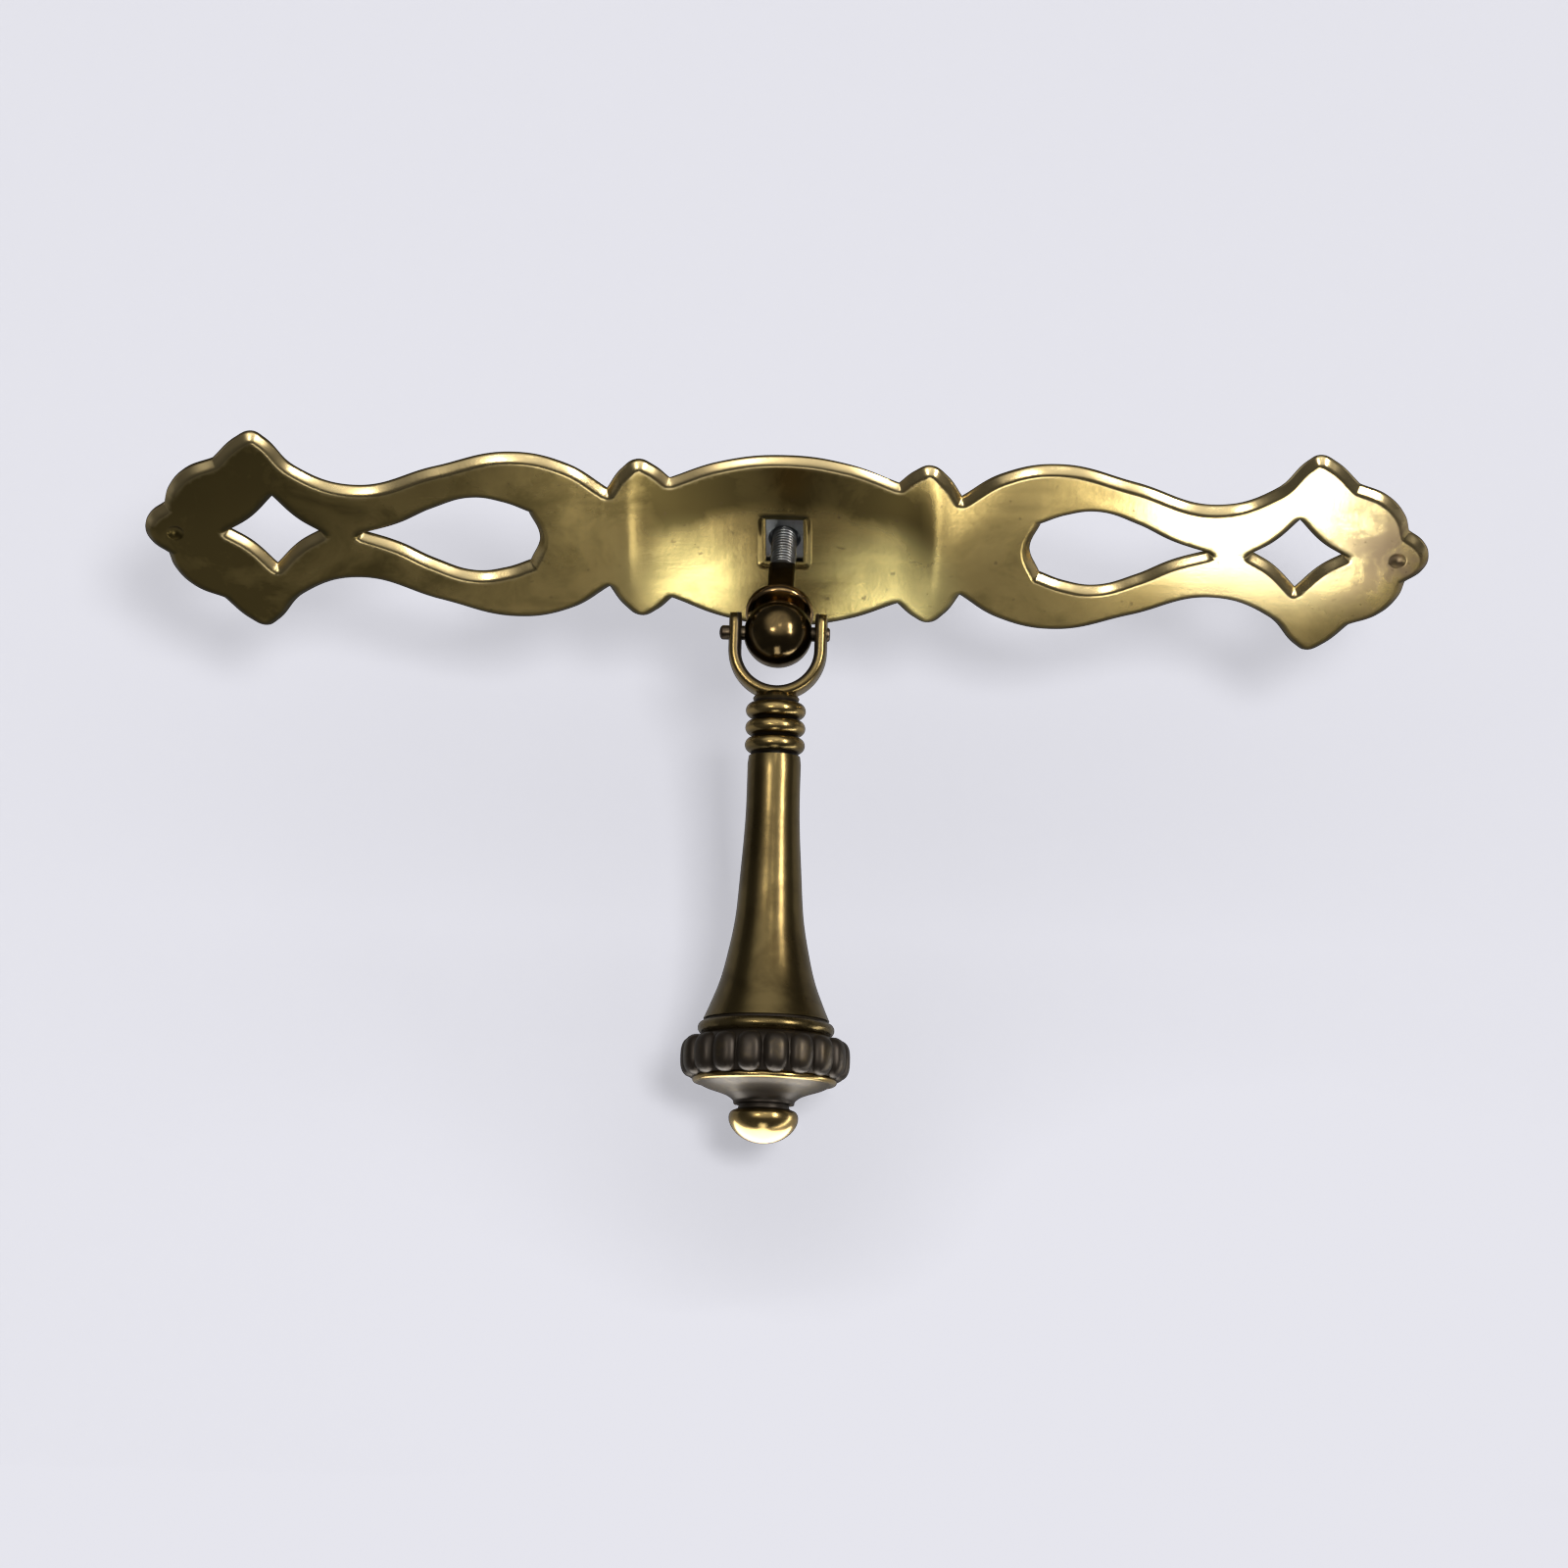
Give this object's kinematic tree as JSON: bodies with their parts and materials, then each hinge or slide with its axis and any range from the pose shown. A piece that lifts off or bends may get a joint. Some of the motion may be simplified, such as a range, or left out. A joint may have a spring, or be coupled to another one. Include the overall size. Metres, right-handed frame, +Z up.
{
  "type": "drop pull",
  "caption": "Brass drop pull for a drawer or cabinet: long pierced backplate, ball-headed post with stud and nut, and a turned pendant that swings on a pivot pin.",
  "frame": {"origin": "centre of the backplate's square post hole, on the plate's back face, where the pull meets the drawer front", "axes": "+X along the plate, +Y out of the plate's back into the drawer front, +Z up"},
  "size_m": [0.15, 0.0763, 0.0538],
  "materials": {
    "plate_brass": "worn polish, mottled with light tarnish",
    "drop_brass": "aged polish with dark recesses",
    "steel": "plain zinc grey"
  },
  "bodies": {
    "plate": {"backplate": "plate_brass"},
    "post": {"ball_post": "drop_brass", "threaded_stud": "steel"},
    "pendant": {"pivot_pin": "steel", "yoke_collar": "drop_brass", "drop_stem": "drop_brass", "tie_rod": "steel", "gadrooned_cap": "drop_brass", "finial_nut": "drop_brass"},
    "washer": {"washer": "steel"},
    "nut": {"hex_nut": "steel"}
  },
  "joints": [
    {"name": "post_slide", "type": "slide", "parent": "plate", "child": "post", "axis": [0, 1, 0], "range_m": [0, 0.0112]},
    {"name": "pendant_swing", "type": "hinge", "parent": "post", "child": "pendant", "pos_m": [0, -0.0174, 0], "axis": [-1, 0, 0], "range_deg": [-45, 125]},
    {"name": "washer_slide", "type": "slide", "parent": "post", "child": "washer", "axis": [0, 1, 0], "range_m": [0, 0.009]},
    {"name": "nut_turn", "type": "hinge", "parent": "washer", "child": "nut", "pos_m": [0, 0.0025, 0], "axis": [0, 1, 0], "continuous": true}
  ]
}
